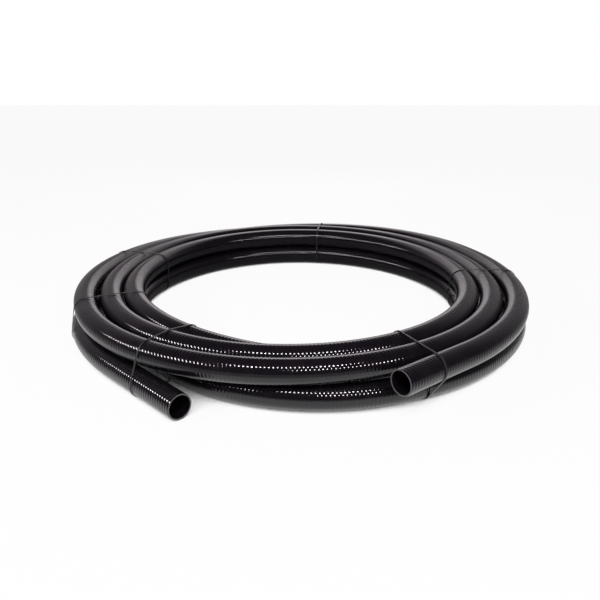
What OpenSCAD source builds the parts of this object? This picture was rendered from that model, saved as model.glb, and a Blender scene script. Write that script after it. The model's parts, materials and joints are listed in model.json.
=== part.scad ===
// A coil of black flexible conduit, wound in two layers and tied for storage.
// It lies flat on the floor (z = 0), +Z up, -Y the side where both open ends are.
// The origin is on the floor under the middle of the coil's outline.

/* [Conduit] */
// Outside diameter over the ribs
conduit_od = 50; // [46:0.5:54]
// Thickness of the wall, ribs included
conduit_wall = 3.5; // [2.5:0.5:5]
// Depth of the fine grooves between the ribs
rib_height = 0.4; // [0.3:0.1:0.6]
// Width of one rib
rib_w = 4; // [3:0.5:4.5]

/* [Coil] */
// Radius of the outermost turn at the front and back, to the middle of the conduit
coil_r = 500; // [460:5:540]
// Straight run between two half-turns, at the left and the right
side_run = 10; // [10:1:14]
// Room between two turns that lie beside each other
turn_gap = 1.5; // [1:0.5:4]
// Extra room between the outermost turn and the next one, at the left and the right
outer_gap = 5; // [4:1:8]
// Room between the upper and the lower layer
layer_gap = 2; // [1.5:0.5:4]
// How far the outermost upper turn sags at the back
back_sag = 14; // [5:1:14]
// Straight length before and after the sagging half-turn
sag_lead = 12; // [12:1:30]
// Direction of the line along which each turn steps inwards, from +X
step_azimuth = 22; // [10:1:30]

/* [Free ends] */
// Direction at which the upper end leaves the round of the coil
upper_end_azimuth = 308; // [300:1:316]
// Straight length of the upper end
upper_end_length = 170; // [150:1:220]
// Direction at which the lower end leaves the round of the coil
lower_end_azimuth = 225; // [222:1:230]
// Straight length of the lower end
lower_end_length = 221; // [150:1:230]
// How far the lower end's turn stands out from the upper one on its side
lower_end_stand_out = 10; // [4:1:14]

/* [Lower turn] */
// How far inside the outermost turn's line it lies at the front
front_tuck = 10; // [6:1:14]
// Straight run in the middle of the front
front_run = 32; // [30:1:45]
// Straight run at the right
right_run = 25; // [20:1:28]
// Straight run in the middle of the back, where it lies one turn further in
back_run = 10; // [8:1:40]
// Angle of the tight bends with which it swings in at the back and out again
tuck_angle = 30; // [26:1:34]

/* [Ties] */
// Width of a tie's strap
tie_w = 4; // [2.5:0.1:5]
// Thickness of a tie's strap
tie_t = 1.2; // [1:0.1:1.6]
// Clearance between a tie and the conduit
tie_gap = 0.3; // [0.2:0.1:0.5]
// Size of a tie's head along the strap, across it and outwards
tie_head = [6.5, 7.5, 5];
// Length of the cut strap end that stands out of the head
tie_stub = 2.5; // [1:0.5:5]
// Directions of the ties: back, back left, left, front left, front right, right
tie_azimuths = [82, 160, 203, 236, 297, 0];

/* [Hidden] */
$fn = 72;

// The tube is drawn at the middle of its ribs and grooves, outside and in
od_r = conduit_od / 2;
tube_r = od_r - rib_height / 2;
bore_r = od_r - conduit_wall;
joint_gap = 1;
RAD = 180 / PI;
pitch = conduit_od + turn_gap;
low_z = tie_t + tie_gap + od_r;
layer_step = conduit_od + layer_gap;
top_z = low_z + layer_step;
side_r = coil_r - side_run / 2;
outer_r = side_r + outer_gap;
inner_r = coil_r - 2 * pitch;

// The sagging turn: two tilted quarters joined by a shallow dip at the back
sag_r = coil_r + side_run / 2 - sag_lead;
sag_tilt = 2 * atan(back_sag / (outer_r + sag_r));
sag_dip_r = (outer_r - sag_r * cos(sag_tilt)) / sin(sag_tilt);

// The half-turn that goes down from the upper to the lower layer inside the front
drop_r = coil_r - 2.5 * pitch;
drop_span = 2 * inner_r - side_run / 2;
drop_tilt = 2 * atan(layer_step / drop_span);
drop_dip_r = (drop_span - drop_r * (1 + cos(drop_tilt))) / sin(drop_tilt);

// The lower turn eases outwards at the front and swings inwards at the back, where
// two radii bring it to its place with the straight run between them
front_lane = coil_r - front_tuck;
front_lead = front_run - right_run + 2 * (pitch - front_tuck);
back_lane = coil_r - pitch;
back_half = coil_r + (lower_end_stand_out - back_run) / 2;
tuck_sin = sin(tuck_angle);
tuck_cos = cos(tuck_angle);
tuck_r = (back_lane * tuck_cos - back_half * (1 - tuck_sin)) / (tuck_sin + tuck_cos - 1);
back_r = (back_half * tuck_sin - back_lane * (1 - tuck_cos)) / (tuck_sin + tuck_cos - 1);

// Each stretch of the conduit in turn, from the upper end to the lower one.
// A straight is [length]; a bend is [radius, angle, tilt], turning left,
// with the inside of the bend tilted down, and a tilt of -90 bends upwards.
ROUTE = [
    [upper_end_length],
    [side_r + pitch / 2, 360 + step_azimuth - upper_end_azimuth, 0],
    [sag_lead], [sag_r, 90, sag_tilt], [sag_dip_r, 2 * sag_tilt, -90], [sag_r, 90, 0], [sag_lead],
    [(outer_r + side_r - pitch) / 2, 180, 0], [side_run],
    [side_r - pitch, 180, 0], [side_run],
    [side_r - 1.5 * pitch, 180, 0], [side_run],
    [side_r - 2 * pitch, 180, 0], [side_run / 2],
    [drop_r, 90, drop_tilt], [drop_dip_r, drop_tilt, -90], [drop_r, 90, 0],
    [inner_r, 180, 0],
    [front_lead], [front_lane - front_lead, 90, 0], [front_run], [front_lane - right_run, 90, 0],
    [right_run],
    [tuck_r, tuck_angle, 0], [back_r, 90 - tuck_angle, 0], [back_run],
    [back_r, 90 - tuck_angle, 0], [tuck_r, tuck_angle, 0],
    [coil_r + lower_end_stand_out, lower_end_azimuth - step_azimuth - 180, 0],
    [lower_end_length],
];

// The left-hand side of a direction, tilted down by an angle
function level_side(t) = let (a = cross([0, 0, 1], t)) a / norm(a);
function side(t, tilt) = cos(tilt) * level_side(t) - sin(tilt) * cross(t, level_side(t));

// Point and direction after a share u of a stretch that starts at s = [point, direction]
function along(s, stretch, u) =
    len(stretch) == 1 ? [s[0] + u * stretch[0] * s[1], s[1]] :
    let (r = stretch[0], a = u * stretch[1], n = side(s[1], stretch[2]))
    [s[0] + r * (sin(a) * s[1] + (1 - cos(a)) * n), cos(a) * s[1] + sin(a) * n];

function starts_from(first) =
    [for (i = 0, s = first; i < len(ROUTE); s = along(s, ROUTE[i], 1), i = i + 1) s];

// The upper end's mouth, with the eye of the coil at the middle
end_dir = [-sin(upper_end_azimuth), cos(upper_end_azimuth), 0];
mouth = [cos(step_azimuth), sin(step_azimuth), 0] * (outer_gap - pitch / 2) +
    [sin(step_azimuth), -cos(step_azimuth), 0] * side_run / 2 +
    [cos(upper_end_azimuth), sin(upper_end_azimuth), 0] * (side_r + pitch / 2) +
    [0, 0, top_z] - end_dir * upper_end_length;

starts = starts_from([mouth, end_dir]);

// Puts a shape drawn round +Z at the start of a stretch, its +Z along the conduit
module at_straight(s) {
    x = level_side(s[1]);
    y = cross(s[1], x);
    p = s[0];
    t = s[1];
    multmatrix([[x[0], y[0], t[0], p[0]], [x[1], y[1], t[1], p[1]], [x[2], y[2], t[2], p[2]], [0, 0, 0, 1]])
        children();
}

// Puts a shape turned round +Z at the middle of a bend, starting from +X
module at_bend(s, r, tilt) {
    n = side(s[1], tilt);
    t = s[1];
    b = cross(t, n);
    c = s[0] + r * n;
    multmatrix([[-n[0], t[0], b[0], c[0]], [-n[1], t[1], b[1], c[1]], [-n[2], t[2], b[2], c[2]], [0, 0, 0, 1]])
        children();
}

module tube_section() difference() {
    circle(r = tube_r, $fn = 72);
    circle(r = bore_r, $fn = 72);
}

// One stretch as a hollow tube, cut back a little where it meets the next one
module stretch_of_tube(i) {
    stretch = ROUTE[i];
    first = i == 0 ? 0 : joint_gap / 2;
    last = i == len(ROUTE) - 1 ? 0 : joint_gap / 2;
    if (len(stretch) == 1)
        at_straight(starts[i]) translate([0, 0, first])
            linear_extrude(stretch[0] - first - last) tube_section();
    else
        at_bend(starts[i], stretch[0], stretch[2])
            rotate_extrude(start = first / stretch[0] * RAD,
                    angle = stretch[1] - (first + last) / stretch[0] * RAD, $fn = 144)
                translate([stretch[0], 0]) tube_section();
}

// One whole rib, at full height outside and hollow inside, where two stretches meet
module rib(s) {
    at_straight(s) translate([0, 0, -rib_w / 2]) difference() {
        cylinder(h = rib_w, r = od_r);
        cylinder(h = rib_w, r = bore_r + rib_height / 2);
    }
}

// The whole conduit, one hollow length from mouth to mouth
module conduit() {
    color("#1b1a1c") {
        for (i = [0 : len(ROUTE) - 1]) stretch_of_tube(i);
        for (i = [1 : len(ROUTE) - 1]) rib(starts[i]);
    }
}

// Where the conduit crosses the upright half-plane at a direction from the eye:
// [distance from the eye, height, how much wider than round the cut is]
function off_plane(p, az) = p[1] * cos(az) - p[0] * sin(az);
function in_plane(p, az) = p[0] * cos(az) + p[1] * sin(az);
function share_at(s, stretch, az, lo = 0, hi = 1, n = 24) =
    n == 0 ? (lo + hi) / 2 :
    off_plane(along(s, stretch, (lo + hi) / 2)[0], az) < 0 ?
        share_at(s, stretch, az, (lo + hi) / 2, hi, n - 1) :
        share_at(s, stretch, az, lo, (lo + hi) / 2, n - 1);
function section(az) = [
    for (i = [0 : len(ROUTE) - 1])
        if (off_plane(starts[i][0], az) < 0 && off_plane(along(starts[i], ROUTE[i], 1)[0], az) >= 0)
            let (c = along(starts[i], ROUTE[i], share_at(starts[i], ROUTE[i], az)))
            if (in_plane(c[0], az) > 0) [in_plane(c[0], az), c[0][2], 1 / off_plane(c[1], az)]
];

// The outline on the floor, ties included, puts the origin under its middle
outline = [for (i = [0 : len(ROUTE) - 1], u = [0 : 0.01 : 1]) along(starts[i], ROUTE[i], u)];
function tube_reach(axis, sign) =
    max([for (s = outline) sign * s[0][axis] + tube_r * sqrt(max(0, 1 - s[1][axis] * s[1][axis]))]);
function tie_reach(axis, sign) = max([
    for (az = tie_azimuths, c = section(az))
        sign * [cos(az), sin(az)][axis] * (c[0] + od_r * c[2] + tie_gap + tie_t) + tie_w / 2 * abs([sin(az), cos(az)][axis])
]);
function reach(axis, sign) = max(tube_reach(axis, sign), tie_reach(axis, sign));
eye = [for (axis = [0, 1]) (reach(axis, -1) - reach(axis, 1)) / 2];

// Outline of the bundle at a tie, everything this far from the conduit wrapped in
module wrap(cuts, off) {
    hull() for (c = cuts) translate([c[0], c[1]]) scale([c[2], 1]) circle(r = od_r + off, $fn = 48);
}

// A tie: a flat strap pulled tight round all the turns, with its locking head
// on the straight run between two of them, outside or inside the coil
module tie(az, outside) {
    cuts = section(az);
    a = outside ? cuts[4] : cuts[2];
    b = outside ? cuts[0] : cuts[3];
    slope = atan2(b[1] - a[1], b[0] - a[0]);
    seat = od_r + tie_gap;
    color("#101011") rotate([90, 0, az]) {
        linear_extrude(tie_w, center = true) difference() {
            wrap(cuts, tie_gap + tie_t);
            wrap(cuts, tie_gap);
        }
        translate([(a[0] + b[0]) / 2, (a[1] + b[1]) / 2]) rotate(slope - 90) {
            translate([seat, -tie_head[0] / 2, -tie_head[1] / 2]) cube([tie_t + tie_head[2], tie_head[0], tie_head[1]]);
            translate([seat + tie_t, -tie_t / 2, -tie_w / 2]) cube([tie_head[2] + tie_stub, tie_t, tie_w]);
        }
    }
}

module tie_back() tie(tie_azimuths[0], true);
module tie_back_left() tie(tie_azimuths[1], true);
module tie_left() tie(tie_azimuths[2], false);
module tie_front_left() tie(tie_azimuths[3], false);
module tie_front_right() tie(tie_azimuths[4], false);
module tie_right() tie(tie_azimuths[5], false);

// Moves a piece from the middle of the eye to the part's origin
module placed() translate([eye[0], eye[1], 0]) children();

placed() conduit();
placed() tie_back();
placed() tie_back_left();
placed() tie_left();
placed() tie_front_left();
placed() tie_front_right();
placed() tie_right();
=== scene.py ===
import json
import math

import bmesh
import bpy
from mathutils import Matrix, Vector

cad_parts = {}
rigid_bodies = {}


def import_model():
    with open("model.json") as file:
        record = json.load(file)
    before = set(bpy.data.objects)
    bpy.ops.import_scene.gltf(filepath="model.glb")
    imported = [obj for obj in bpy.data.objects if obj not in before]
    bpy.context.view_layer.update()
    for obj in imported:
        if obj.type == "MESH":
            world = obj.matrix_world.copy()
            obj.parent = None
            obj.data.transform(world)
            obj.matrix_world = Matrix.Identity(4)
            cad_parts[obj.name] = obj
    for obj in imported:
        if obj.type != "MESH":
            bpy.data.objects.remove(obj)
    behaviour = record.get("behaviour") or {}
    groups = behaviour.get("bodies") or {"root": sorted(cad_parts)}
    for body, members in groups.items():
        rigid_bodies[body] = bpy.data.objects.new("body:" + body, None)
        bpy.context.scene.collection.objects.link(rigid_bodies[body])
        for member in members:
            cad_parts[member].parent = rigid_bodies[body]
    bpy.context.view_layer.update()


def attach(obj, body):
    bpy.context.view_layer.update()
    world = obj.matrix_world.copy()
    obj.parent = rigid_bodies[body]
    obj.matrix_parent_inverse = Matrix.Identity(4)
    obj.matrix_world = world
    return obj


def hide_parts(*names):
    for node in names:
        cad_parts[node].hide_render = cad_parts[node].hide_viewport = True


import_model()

# ---------------------------------------------------------------------------
# Camera: at the front, a little above the coil and looking down across it.
# ---------------------------------------------------------------------------
CAMERA_PLACE = (-0.0019, -1.4345, 0.5762)
LOOKING_DOWN = 20.887
camera_data = bpy.data.cameras.new("camera")
camera_data.sensor_width = 36.0
camera_data.lens = 37.32
camera = bpy.data.objects.new("camera", camera_data)
camera.location = CAMERA_PLACE
camera.rotation_euler = (math.radians(90 - LOOKING_DOWN), 0, 0)
bpy.context.scene.collection.objects.link(camera)
bpy.context.scene.camera = camera

# ---------------------------------------------------------------------------
# Conduit: one length of black flexible PVC conduit, extruded with a smooth bore
# and close rounded ribs. It is wound ring on ring in an upper and a lower layer,
# with a drop between the two at the front, and both its sawn ends stay open.
# ---------------------------------------------------------------------------
OD_R = 0.025
BORE_R = 0.0215
RIB_PITCH = 0.0073
GROOVE_DEPTH = 0.0005
# The crests stay this far under the full radius, inside the box of the solids
CREST_DROP = 0.0002

PITCH = 0.0515
COIL_R = 0.5
LOW_Z = 0.0265
TOP_Z = 0.0785
EYE = Vector((-0.00315, 0.010012, 0))
STEP_AZIMUTH = 22
UPPER_END_AZIMUTH = 308
UPPER_END_LENGTH = 0.17
LOWER_END_AZIMUTH = 225
LOWER_END_LENGTH = 0.221
SIDE_RUN = 0.01
OUTER_GAP = 0.005
SIDE_R = COIL_R - SIDE_RUN / 2
OUTER_R = SIDE_R + OUTER_GAP
INNER_R = COIL_R - 2 * PITCH

# The outermost upper turn sags at the back
BACK_SAG = 0.014
SAG_LEAD = 0.012
sag_r = COIL_R + SIDE_RUN / 2 - SAG_LEAD
sag_tilt = 2 * math.degrees(math.atan(BACK_SAG / (OUTER_R + sag_r)))
sag_dip_r = (OUTER_R - sag_r * math.cos(math.radians(sag_tilt))) / math.sin(math.radians(sag_tilt))

# The drop from the upper to the lower layer
drop_r = COIL_R - 2.5 * PITCH
drop_span = 2 * INNER_R - SIDE_RUN / 2
drop_tilt = 2 * math.degrees(math.atan((TOP_Z - LOW_Z) / drop_span))
drop_dip_r = ((drop_span - drop_r * (1 + math.cos(math.radians(drop_tilt))))
              / math.sin(math.radians(drop_tilt)))

# The lower turn is tucked in at the front and swings inwards at the back
FRONT_TUCK = 0.01
FRONT_LANE = COIL_R - FRONT_TUCK
FRONT_RUN = 0.032
RIGHT_RUN = 0.025
STAND_OUT = 0.01
BACK_RUN = 0.01
TUCK_ANGLE = 30
front_lead = FRONT_RUN - RIGHT_RUN + 2 * (PITCH - FRONT_TUCK)
back_lane = COIL_R - PITCH
back_half = COIL_R + (STAND_OUT - BACK_RUN) / 2
tuck_sin = math.sin(math.radians(TUCK_ANGLE))
tuck_cos = math.cos(math.radians(TUCK_ANGLE))
tuck_r = (back_lane * tuck_cos - back_half * (1 - tuck_sin)) / (tuck_sin + tuck_cos - 1)
back_r = (back_half * tuck_sin - back_lane * (1 - tuck_cos)) / (tuck_sin + tuck_cos - 1)

# Straights are (length,). Bends are (radius, angle, tilt), turning left with
# the inside of the bend tilted down; a tilt of -90 bends upwards.
ROUTE = [
    (UPPER_END_LENGTH,),
    (SIDE_R + PITCH / 2, 360 + STEP_AZIMUTH - UPPER_END_AZIMUTH, 0),
    (SAG_LEAD,), (sag_r, 90, sag_tilt), (sag_dip_r, 2 * sag_tilt, -90), (sag_r, 90, 0), (SAG_LEAD,),
    ((OUTER_R + SIDE_R - PITCH) / 2, 180, 0), (SIDE_RUN,),
    (SIDE_R - PITCH, 180, 0), (SIDE_RUN,),
    (SIDE_R - 1.5 * PITCH, 180, 0), (SIDE_RUN,),
    (SIDE_R - 2 * PITCH, 180, 0), (SIDE_RUN / 2,),
    (drop_r, 90, drop_tilt), (drop_dip_r, drop_tilt, -90), (drop_r, 90, 0),
    (INNER_R, 180, 0),
    (front_lead,), (FRONT_LANE - front_lead, 90, 0), (FRONT_RUN,),
    (FRONT_LANE - RIGHT_RUN, 90, 0), (RIGHT_RUN,),
    (tuck_r, TUCK_ANGLE, 0), (back_r, 90 - TUCK_ANGLE, 0), (BACK_RUN,),
    (back_r, 90 - TUCK_ANGLE, 0), (tuck_r, TUCK_ANGLE, 0),
    (COIL_R + STAND_OUT, LOWER_END_AZIMUTH - STEP_AZIMUTH - 180, 0),
    (LOWER_END_LENGTH,),
]
ROUTE_STEP = 0.006


def compass(azimuth):
    return Vector((math.cos(math.radians(azimuth)), math.sin(math.radians(azimuth)), 0))


def along(point, heading, stretch, share):
    """Point and heading after a share of one stretch of the conduit."""
    if len(stretch) == 1:
        return point + share * stretch[0] * heading, heading
    radius, angle, tilt = stretch
    level = Vector((0, 0, 1)).cross(heading).normalized()
    tilt = math.radians(tilt)
    side = math.cos(tilt) * level - math.sin(tilt) * heading.cross(level)
    turn = math.radians(angle) * share
    return (point + radius * (math.sin(turn) * heading + (1 - math.cos(turn)) * side),
            math.cos(turn) * heading + math.sin(turn) * side)


def stretch_length(stretch):
    return stretch[0] if len(stretch) == 1 else stretch[0] * math.radians(stretch[1])


# The route starts at the mouth of the upper end
heading = start_heading = compass(UPPER_END_AZIMUTH + 90)
upper_middle = (EYE + compass(STEP_AZIMUTH) * (OUTER_R - SIDE_R - PITCH / 2)
                - compass(STEP_AZIMUTH + 90) * SIDE_RUN / 2)
point = (upper_middle + compass(UPPER_END_AZIMUTH) * (SIDE_R + PITCH / 2)
         + Vector((0, 0, TOP_Z)) - heading * UPPER_END_LENGTH)
centreline = [point]
for stretch in ROUTE:
    steps = max(2, math.ceil(stretch_length(stretch) / ROUTE_STEP))
    centreline += [along(point, heading, stretch, (i + 1) / steps)[0] for i in range(steps)]
    point, heading = along(point, heading, stretch, 1)
conduit_length = sum(stretch_length(s) for s in ROUTE)


class NodeTree:
    """A node tree, built by asking for nodes and feeding their sockets."""

    def __init__(self, tree):
        self.tree = tree

    def feed(self, socket, value):
        if isinstance(value, bpy.types.NodeSocket):
            self.tree.links.new(value, socket)
        else:
            socket.default_value = value

    def add(self, kind, *values, **settings):
        node = self.tree.nodes.new(kind)
        for key, value in settings.items():
            setattr(node, key, value)
        for socket, value in zip([s for s in node.inputs if s.enabled], values):
            self.feed(socket, value)
        return node

    def maths(self, operation, *values):
        return self.add("ShaderNodeMath", *values, operation=operation).outputs[0]

    def tinted(self, share, first, second):
        """A colour that goes from the first to the second with a share."""
        mix = self.add("ShaderNodeMix", data_type="RGBA")
        # Its sockets for colours share their names with others, so they go by number
        for index, value in ((0, share), (6, (*first, 1)), (7, (*second, 1))):
            self.feed(mix.inputs[index], value)
        return mix.outputs[2]


class Finish(NodeTree):
    """A material whose even values are set straight on its shader."""

    def __init__(self, name, **values):
        self.material = bpy.data.materials.new(name)
        self.material.use_nodes = True
        super().__init__(self.material.node_tree)
        self.shader = self.tree.nodes["Principled BSDF"]
        for label, value in values.items():
            self.shader.inputs[label.replace("_", " ")].default_value = value

    def spread(self, value, start, end, low, high, interpolation="LINEAR"):
        """Maps start to end onto low to high."""
        node = self.add("ShaderNodeMapRange", interpolation_type=interpolation)
        limits = {"Value": value, "From Min": start, "From Max": end, "To Min": low, "To Max": high}
        for label, limit in limits.items():
            self.feed(node.inputs[label], limit)
        return node.outputs[0]

    def cloudy(self, scale, detail, low, high, start=0.35, end=0.65):
        """Noise in the piece's own space, spread between two values."""
        noise = self.add("ShaderNodeTexNoise")
        noise.inputs["Scale"].default_value = scale
        noise.inputs["Detail"].default_value = detail
        self.feed(noise.inputs["Vector"], self.add("ShaderNodeTexCoord").outputs["Object"])
        return self.spread(noise.outputs["Fac"], start, end, low, high)

    def rough(self, roughness):
        self.feed(self.shader.inputs["Roughness"], roughness)

    def uneven(self, height, strength, distance):
        bump = self.add("ShaderNodeBump")
        bump.inputs["Strength"].default_value = strength
        bump.inputs["Distance"].default_value = distance
        self.feed(bump.inputs["Height"], height)
        self.feed(self.shader.inputs["Normal"], bump.outputs["Normal"])


class ShapeTree(NodeTree):
    """A geometry tree with a named input for each size, run on a line of points."""

    def __init__(self, name, **sizes):
        super().__init__(bpy.data.node_groups.new(name, "GeometryNodeTree"))
        face = self.tree.interface
        face.new_socket("Geometry", in_out="INPUT", socket_type="NodeSocketGeometry")
        face.new_socket("Geometry", in_out="OUTPUT", socket_type="NodeSocketGeometry")
        self.ids = {}
        for label, value in sizes.items():
            kind = "NodeSocketInt" if isinstance(value, int) else "NodeSocketFloat"
            socket = face.new_socket(label, in_out="INPUT", socket_type=kind)
            socket.default_value = value
            self.ids[label] = socket.identifier
        self.start = self.tree.nodes.new("NodeGroupInput")
        self.end = self.tree.nodes.new("NodeGroupOutput")

    def size(self, label):
        return self.start.outputs[label]

    def finish(self, geometry, material):
        real = self.add("GeometryNodeRealizeInstances", geometry).outputs[0]
        last = self.add("GeometryNodeSetMaterial", real, True, material).outputs[0]
        self.feed(self.end.inputs[0], last)

    def make(self, name, points, edges, **sizes):
        """Runs the tree on a line of points and gives back a plain mesh object."""
        line = bpy.data.meshes.new(name + "_line")
        line.from_pydata(points, edges, [])
        source = bpy.data.objects.new(name + "_line", line)
        bpy.context.scene.collection.objects.link(source)
        modifier = source.modifiers.new("nodes", "NODES")
        modifier.node_group = self.tree
        for label, value in sizes.items():
            modifier[self.ids[label]] = value
        graph = bpy.context.evaluated_depsgraph_get()
        mesh = bpy.data.meshes.new_from_object(source.evaluated_get(graph))
        mesh.name = name
        source.modifiers.remove(modifier)
        bpy.data.objects.remove(source)
        bpy.data.meshes.remove(line)
        piece = bpy.data.objects.new(name, mesh)
        bpy.context.scene.collection.objects.link(piece)
        return piece


# Handling leaves the skin a little duller in patches, with a trace of dust
PVC_IOR = 1.5
BLACK, DUSTY = (0.0056, 0.0044, 0.0068), (0.0092, 0.0078, 0.0094)
black_pvc = Finish("black_pvc", IOR=PVC_IOR)
black_pvc.rough(black_pvc.cloudy(scale=14.0, detail=4.0, low=0.085, high=0.14))
dust = black_pvc.cloudy(scale=45.0, detail=6.0, low=0.0, high=1.0, start=0.45, end=0.8)
black_pvc.feed(black_pvc.shader.inputs["Base Color"], black_pvc.tinted(dust, BLACK, DUSTY))
black_pvc.uneven(black_pvc.cloudy(scale=320.0, detail=2.0, low=0.0, high=1.0),
                 strength=0.1, distance=0.0002)

# The saw leaves the two cut ends dull and paler
sawn_pvc = Finish("sawn_pvc", IOR=PVC_IOR, Base_Color=(0.075, 0.07, 0.075, 1))
sawn_pvc.rough(sawn_pvc.cloudy(scale=900.0, detail=3.0, low=0.25, high=0.5))
sawn_pvc.uneven(sawn_pvc.cloudy(scale=1500.0, detail=3.0, low=0.0, high=1.0),
                strength=0.4, distance=0.0002)

# Five meshes stand for the one conduit, each with a whole number of ribs
TURNS = 5
ribs_in_all = round(conduit_length / RIB_PITCH / TURNS) * TURNS
rib_pitch = conduit_length / ribs_in_all
turn_ribs = ribs_in_all // TURNS

ribbed = ShapeTree("ribbed_tube", Start=0.0, Pitch=rib_pitch, Ribs=turn_ribs, Rings=5, Sides=44,
                   Crest=OD_R - CREST_DROP, Depth=GROOVE_DEPTH, Bore=BORE_R, Spans=40)
size, maths = ribbed.size, ribbed.maths

# The rows of a grid go along the outside, so many rings to a rib, then back through the
# bore, and end on the first one again, which closes the tube. Its columns go round it.
out_last = maths("MULTIPLY", size("Ribs"), size("Rings"))
last_row = maths("ADD", maths("ADD", out_last, size("Spans")), 2.0)
grid = ribbed.add("GeometryNodeMeshGrid", last_row, size("Sides"), maths("ADD", last_row, 1.0),
                  maths("ADD", size("Sides"), 1.0)).outputs["Mesh"]
where = ribbed.add("ShaderNodeSeparateXYZ", ribbed.add("GeometryNodeInputPosition").outputs[0])
row = maths("ROUND", maths("ADD", where.outputs[0], maths("DIVIDE", last_row, 2.0)))
column = maths("ROUND", maths("ADD", where.outputs[1], maths("DIVIDE", size("Sides"), 2.0)))
row = maths("MULTIPLY", row, maths("LESS_THAN", row, maths("SUBTRACT", last_row, 0.5)))
outside = maths("LESS_THAN", row, maths("ADD", out_last, 0.5))
inside = maths("SUBTRACT", 1.0, outside)

# Between two grooves the outside rises in a round crest; the nudge keeps a whole count whole
COUNT_NUDGE = 0.0001
count = maths("DIVIDE", row, size("Rings"))
part_rib = maths("FRACT", maths("ADD", count, COUNT_NUDGE))
sway = maths("SUBTRACT", maths("MULTIPLY", part_rib, 2.0), 1.0)
dip = maths("MULTIPLY", size("Depth"), maths("MULTIPLY", sway, sway))
rib_r = maths("SUBTRACT", size("Crest"), dip)
radius = maths("ADD", maths("MULTIPLY", rib_r, outside), maths("MULTIPLY", size("Bore"), inside))

# Each row's place along the conduit, and the ring round it there
back = maths("DIVIDE", maths("SUBTRACT", maths("SUBTRACT", row, out_last), 1.0), size("Spans"))
bore_count = maths("MULTIPLY", size("Ribs"), maths("SUBTRACT", 1.0, back))
ribs_along = maths("ADD", maths("MULTIPLY", count, outside), maths("MULTIPLY", bore_count, inside))
reach = maths("ADD", size("Start"), maths("MULTIPLY", ribs_along, size("Pitch")))
curve = ribbed.add("GeometryNodeMeshToCurve", ribbed.start.outputs[0]).outputs[0]
curve = ribbed.add("GeometryNodeSetCurveNormal", curve, mode="Z_UP").outputs[0]
sample = ribbed.add("GeometryNodeSampleCurve", mode="LENGTH", data_type="FLOAT")
ribbed.feed(sample.inputs["Curves"], curve)
ribbed.feed(sample.inputs["Length"], reach)


def vectors(operation, first, second):
    return ribbed.add("ShaderNodeVectorMath", first, second, operation=operation).outputs[0]


def scaled(vector, factor):
    node = ribbed.add("ShaderNodeVectorMath", vector, operation="SCALE")
    ribbed.feed(node.inputs["Scale"], factor)
    return node.outputs[0]


across = sample.outputs["Normal"]
up = vectors("CROSS_PRODUCT", sample.outputs["Tangent"], across)
angle = maths("MULTIPLY", maths("DIVIDE", column, size("Sides")), 2 * math.pi)
ring = vectors("ADD", scaled(across, maths("COSINE", angle)), scaled(up, maths("SINE", angle)))
place = vectors("ADD", sample.outputs["Position"], scaled(ring, radius))

# The seams are welded; the bottoms of the grooves and the rims of the cut faces stay sharp
SEAM_WELD = 0.00001
CREASE_ANGLE = 17
tube = ribbed.add("GeometryNodeSetPosition", grid, True, place).outputs[0]
tube = ribbed.add("GeometryNodeMergeByDistance", tube, True, SEAM_WELD).outputs[0]
tube = ribbed.add("GeometryNodeFlipFaces", tube, True).outputs[0]
edge = ribbed.add("GeometryNodeInputMeshEdgeAngle").outputs["Unsigned Angle"]
crease = ribbed.add("FunctionNodeCompare", edge, math.radians(CREASE_ANGLE),
                    data_type="FLOAT", operation="GREATER_THAN").outputs[0]
tube = ribbed.add("GeometryNodeSetShadeSmooth", tube, True, True).outputs[0]
sharp = ribbed.add("GeometryNodeStoreNamedAttribute", domain="EDGE", data_type="BOOLEAN")
for label, value in {"Geometry": tube, "Name": "sharp_edge", "Value": crease}.items():
    ribbed.feed(sharp.inputs[label], value)
ribbed.finish(sharp.outputs[0], black_pvc.material)

# The tree leaves an empty first slot, which goes; the cut faces get the sawn finish
FACES_OUT = 0.95
line_edges = [(i, i + 1) for i in range(len(centreline) - 1)]
cut_ends = ((centreline[0], -start_heading), (centreline[-1], heading))
for turn in range(TURNS):
    piece = ribbed.make(f"conduit_turn_{turn + 1}", centreline, line_edges,
                        Start=turn * turn_ribs * rib_pitch)
    piece.data.materials.pop(index=0)
    piece.data.materials.append(sawn_pvc.material)
    for end, facing in cut_ends:
        for face in piece.data.polygons:
            if (face.center - end).length < OD_R and face.normal.dot(facing) > FACES_OUT:
                face.material_index = 1
    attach(piece, "root")
    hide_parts("conduit")

# ---------------------------------------------------------------------------
# Ties: six black nylon bundling ties. Each is a thin moulded strap pulled tight
# round all the turns through its locking head, with its tail cut off short.
# ---------------------------------------------------------------------------
TIE_W = 0.004
TIE_T = 0.0012
TIE_CORNER, CORNER_STEPS = 0.00045, 3
TIE_GAP = 0.0003
TIE_STUB = 0.0025
HEAD_LONG, HEAD_WIDE, HEAD_OUT = 0.0065, 0.0075, 0.005
HEAD_ROUNDING, STUB_ROUNDING, ROUNDING_STEPS = 0.0007, 0.0002, 3
SLOT_SIDE, SLOT_DEPTH, SLOT_NARROWING = 0.0012, 0.0011, 0.45
# Faces of a head smaller than this, in square metres, belong to its rounded edges
EDGE_FACE = 1.5e-6
# Each tie's direction from the eye, and the two turns, counted from the upper end,
# between which its head sits
HEAD_OUTSIDE, HEAD_INSIDE = (4, 0), (2, 3)
TIES = {
    "tie_back": (82, HEAD_OUTSIDE),
    "tie_back_left": (160, HEAD_OUTSIDE),
    "tie_left": (203, HEAD_INSIDE),
    "tie_front_left": (236, HEAD_INSIDE),
    "tie_front_right": (297, HEAD_INSIDE),
    "tie_right": (0, HEAD_INSIDE),
}

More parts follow.
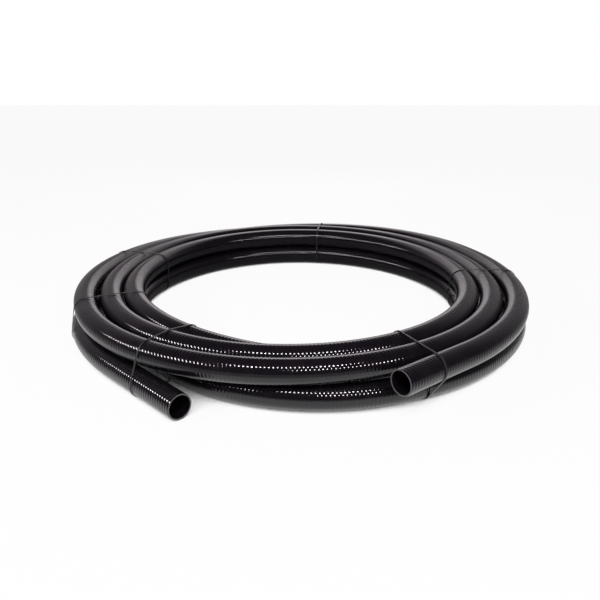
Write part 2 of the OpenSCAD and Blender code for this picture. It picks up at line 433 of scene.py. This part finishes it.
black_nylon = Finish("black_nylon", IOR=1.53, Base_Color=(0.014, 0.0138, 0.0145, 1))
black_nylon.rough(black_nylon.cloudy(scale=300.0, detail=3.0, low=0.34, high=0.5))
black_nylon.uneven(black_nylon.cloudy(scale=2200.0, detail=2.0, low=0.0, high=1.0),
                   strength=0.25, distance=0.0001)

strap = ShapeTree("strap", Width=TIE_W, Thickness=TIE_T, Corner=TIE_CORNER)
path = strap.add("GeometryNodeMeshToCurve", strap.start.outputs[0]).outputs[0]
path = strap.add("GeometryNodeSetCurveNormal", path, mode="MINIMUM_TWIST").outputs[0]
flat = strap.add("GeometryNodeCurvePrimitiveQuadrilateral", strap.size("Width"),
                 strap.size("Thickness")).outputs[0]
rounded = strap.add("GeometryNodeFilletCurve", mode="POLY")
for label, value in {"Curve": flat, "Count": CORNER_STEPS, "Radius": strap.size("Corner")}.items():
    strap.feed(rounded.inputs[label], value)
band = strap.add("GeometryNodeCurveToMesh")
strap.feed(band.inputs["Curve"], path)
strap.feed(band.inputs["Profile Curve"], rounded.outputs[0])
strap.finish(strap.add("GeometryNodeSetShadeSmooth", band.outputs[0], True, True).outputs[0],
             black_nylon.material)


def turns_at(azimuth):
    """Where the turns pass a direction, from the upper end on.

    For each: its distance from the eye, its height, and how much wider than the conduit
    it is there, because it may pass at a slant.
    """
    out, turns = compass(azimuth), []
    for before, after in zip(centreline, centreline[1:]):
        side = [(out.cross(p - EYE)).z for p in (before, after)]
        if side[0] < 0 <= side[1] and out.dot(after - EYE) > 0:
            where = before.lerp(after, side[0] / (side[0] - side[1]))
            run = (after - before).normalized()
            turns.append((out.dot(where - EYE), where.z, 1 / abs(out.cross(run).z)))
    return turns


def taut(points):
    """The points that a strap touches when it is pulled tight round all of them."""
    hull = []
    for row in (sorted(points), sorted(points, reverse=True)):
        chain = []
        for p in row:
            while len(chain) > 1 and ((chain[-1][0] - chain[-2][0]) * (p[1] - chain[-2][1])
                                      <= (chain[-1][1] - chain[-2][1]) * (p[0] - chain[-2][0])):
                chain.pop()
            chain.append(p)
        hull += chain[:-1]
    highest = max(range(len(hull)), key=lambda i: hull[i][1])
    return hull[highest:] + hull[:highest]


def slab(mesh, sizes, middle, rounding, open_slot=False):
    """A block with rounded edges, and a slot sunk into its outer face if asked for."""
    made = bmesh.ops.create_cube(mesh, size=1.0)["verts"]
    for v in made:
        v.co = Vector(v.co[i] * sizes[i] + middle[i] for i in range(3))
    edges = list(dict.fromkeys(e for v in made for e in v.link_edges))
    bmesh.ops.bevel(mesh, geom=edges, offset=rounding, segments=ROUNDING_STEPS, profile=0.5,
                    affect="EDGES")
    if open_slot:
        outer = max((f for f in mesh.faces if f.normal.x > FACES_OUT), key=lambda f: f.calc_area())
        bmesh.ops.inset_region(mesh, faces=[outer], thickness=SLOT_SIDE - rounding / 2)
        for v in outer.verts:
            v.co.y *= SLOT_NARROWING
        sunk = bmesh.ops.extrude_face_region(mesh, geom=[outer])["geom"]
        for v in sunk:
            if isinstance(v, bmesh.types.BMVert):
                v.co.x -= SLOT_DEPTH
        mesh.faces.remove(outer)


TAUT_DEGREES = 3
for name, (azimuth, ends) in TIES.items():
    turns = turns_at(azimuth)
    grip = OD_R + TIE_GAP + TIE_T / 2
    touched = [(d + grip * k * math.cos(math.radians(a)), h + grip * math.sin(math.radians(a)))
               for d, h, k in turns for a in range(0, 360, TAUT_DEGREES)]
    out = compass(azimuth)
    loop = [EYE + out * d + Vector((0, 0, h)) for d, h in taut(touched)]
    piece = strap.make(name + "_band", loop, [(i, (i + 1) % len(loop)) for i in range(len(loop))])

    # The head and the cut tail in it, made lying flat and then set on the strap's straight run
    head = bmesh.new()
    slab(head, (TIE_T + HEAD_OUT, HEAD_LONG, HEAD_WIDE), ((TIE_T + HEAD_OUT) / 2, 0, 0),
         HEAD_ROUNDING, open_slot=True)
    slab(head, (HEAD_OUT + TIE_STUB - SLOT_DEPTH, TIE_T, TIE_W),
         (TIE_T + (HEAD_OUT + TIE_STUB + SLOT_DEPTH) / 2, 0, 0), STUB_ROUNDING)
    low, high = turns[ends[0]], turns[ends[1]]
    along_strap = Vector((high[0] - low[0], high[1] - low[1])).normalized()
    outwards = out * along_strap[1] - Vector((0, 0, along_strap[0]))
    onwards = out * along_strap[0] + Vector((0, 0, along_strap[1]))
    middle = EYE + out * (low[0] + high[0]) / 2 + Vector((0, 0, (low[1] + high[1]) / 2))
    for v in head.verts:
        v.co = (middle + outwards * (OD_R + TIE_GAP + v.co.x) + onwards * v.co.y
                + outwards.cross(onwards) * v.co.z)
    for face in head.faces:
        face.smooth = face.calc_area() < EDGE_FACE
    head.from_mesh(piece.data)
    head.to_mesh(piece.data)
    head.free()
    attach(piece, "root")
    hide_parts(name)

# ---------------------------------------------------------------------------
# Floor and light: a white floor with painted shade close to and under the turns and painted light
# and shade in what the coil mirrors of it, a dim room, a soft panel behind the coil and three small
# lamps above its front.
# ---------------------------------------------------------------------------
FLOOR_HALF = 8
# The share of the floor's white that shows whatever the lamps do
WHITE_SHARE = 0.94
# How far round the turns the painted shade on the floor reaches, how many samples it takes and how
# dark it gets at most
PAINTED_SHADE_REACH, PAINTED_SHADE_SAMPLES, DEEPEST_PAINTED_SHADE = 0.25, 8, 0.02

white = Finish("white_floor", Base_Color=(0.9, 0.9, 0.9, 1), Roughness=0.9)
rays = white.add("ShaderNodeLightPath").outputs
mirrored = white.maths("MAXIMUM", rays["Is Glossy Ray"], rays["Is Transmission Ray"])
seen = white.maths("MAXIMUM", rays["Is Camera Ray"], mirrored)


def eased(value, start, end, low, high):
    return white.spread(value, start, end, low, high, interpolation="SMOOTHSTEP")


# What the coil mirrors: floor with painted shade inside its eye, a painted pool of light round it
# and painted shade far out
from_middle = white.add("ShaderNodeVectorMath", white.add("ShaderNodeTexCoord").outputs["Object"],
                        operation="LENGTH").outputs["Value"]
painted_pool_and_shade = white.maths("MULTIPLY", eased(from_middle, start=0.4, end=0.5, low=0.12, high=1.15),
                   eased(from_middle, start=0.6, end=0.72, low=1.0, high=0.35))

# Painted shade close to the turns and under them, from ambient occlusion, as it is seen and as it
# is mirrored
painted_shade_occlusion = white.add("ShaderNodeAmbientOcclusion", samples=PAINTED_SHADE_SAMPLES)
painted_shade_occlusion.inputs["Distance"].default_value = PAINTED_SHADE_REACH
painted_contact_shade = eased(painted_shade_occlusion.outputs["AO"], start=0.09, end=0.27, low=DEEPEST_PAINTED_SHADE, high=1.0)
painted_shade_under_turns = eased(painted_shade_occlusion.outputs["AO"], start=0.08, end=0.25, low=DEEPEST_PAINTED_SHADE, high=1.0)
seen_white_painted_shade = white.maths("MULTIPLY", rays["Is Camera Ray"], painted_contact_shade)
mirrored_white_painted_light_and_shade = white.maths("MULTIPLY", mirrored, white.maths("MULTIPLY", painted_pool_and_shade, painted_shade_under_turns))
# The floor glows white, with the painted shade and the painted pool of light in the strength of its
# glow
glow_with_painted_light_and_shade = white.add("ShaderNodeEmission")
white.feed(glow_with_painted_light_and_shade.inputs["Strength"], white.maths("ADD", seen_white_painted_shade, mirrored_white_painted_light_and_shade))
mix = white.add("ShaderNodeMixShader", white.maths("MULTIPLY", seen, WHITE_SHARE),
                white.shader.outputs[0], glow_with_painted_light_and_shade.outputs[0])
white.feed(white.tree.nodes["Material Output"].inputs["Surface"], mix.outputs[0])

floor_mesh = bpy.data.meshes.new("floor")
corners = [(x * FLOOR_HALF, y * FLOOR_HALF, 0) for x, y in ((-1, -1), (1, -1), (1, 1), (-1, 1))]
floor_mesh.from_pydata(corners, [], [(0, 1, 2, 3)])
floor_mesh.materials.append(white.material)
floor = bpy.data.objects.new("floor", floor_mesh)
bpy.context.scene.collection.objects.link(floor)

# The room is brightest towards the back, level with the coil, and fades above and in front
ROOM_LIGHT, ROOM_DIM = 0.5, 0.06
ROOM_TINT = (1, 0.93, 0.97)
BACK_STOPS = [(0.2, 0.0), (0.95, 1.0)]
HEIGHT_STOPS = [(0.0, 1.0), (0.35, 1.0), (0.7, 0.0)]
world = bpy.data.worlds.new("studio")
bpy.context.scene.world = world
world.use_nodes = True
room = NodeTree(world.node_tree)
direction = room.add("ShaderNodeTexCoord").outputs["Generated"]
axes = room.add("ShaderNodeSeparateXYZ", direction).outputs
ramps = []
for axis, stops in (("Y", BACK_STOPS), ("Z", HEIGHT_STOPS)):
    ramp = room.add("ShaderNodeValToRGB", axes[axis])
    ramp.color_ramp.interpolation = "EASE"
    for i, (place, level) in enumerate(stops):
        stop = ramp.color_ramp.elements[i] if i < 2 else ramp.color_ramp.elements.new(place)
        stop.position = place
        stop.color = (level, level, level, 1)
    ramps.append(ramp.outputs["Color"])
wall = room.maths("MULTIPLY", *ramps)
lit = room.maths("ADD", room.maths("MULTIPLY", wall, ROOM_LIGHT), ROOM_DIM)
camera_ray = room.add("ShaderNodeLightPath").outputs["Is Camera Ray"]
background = room.tree.nodes["Background"]
room.feed(background.inputs["Strength"], room.maths("MAXIMUM", camera_ray, lit))
room.feed(background.inputs["Color"], room.tinted(camera_ray, ROOM_TINT, (1, 1, 1)))

# Each lamp's place, its width and height, and its power
LAMP_COLOUR = (1.0, 0.94, 0.97)
LAMPS = {
    "panel_back": ((0.0, 1.75, 0.85), (1.3, 0.9), 6.0),
    "lamp_left": ((-1.89, -0.88, 1.1), (0.94, 0.16), 21.0),
    "lamp_middle": ((0.0, -1.6, 1.9), (0.6, 0.16), 24.0),
    "lamp_right": ((0.95, -1.9, 1.2), (0.35, 0.16), 14.0),
}
for name, (place, spans, power) in LAMPS.items():
    lamp_data = bpy.data.lights.new(name, "AREA")
    lamp_data.shape = "RECTANGLE"
    lamp_data.size, lamp_data.size_y = spans
    lamp_data.energy = power
    lamp_data.color = LAMP_COLOUR
    lamp = bpy.data.objects.new(name, lamp_data)
    lamp.location = place
    lamp.rotation_euler = (-Vector(place)).to_track_quat("-Z", "Y").to_euler()
    lamp.visible_camera = False
    bpy.context.scene.collection.objects.link(lamp)

bpy.context.scene.view_settings.view_transform = "Standard"
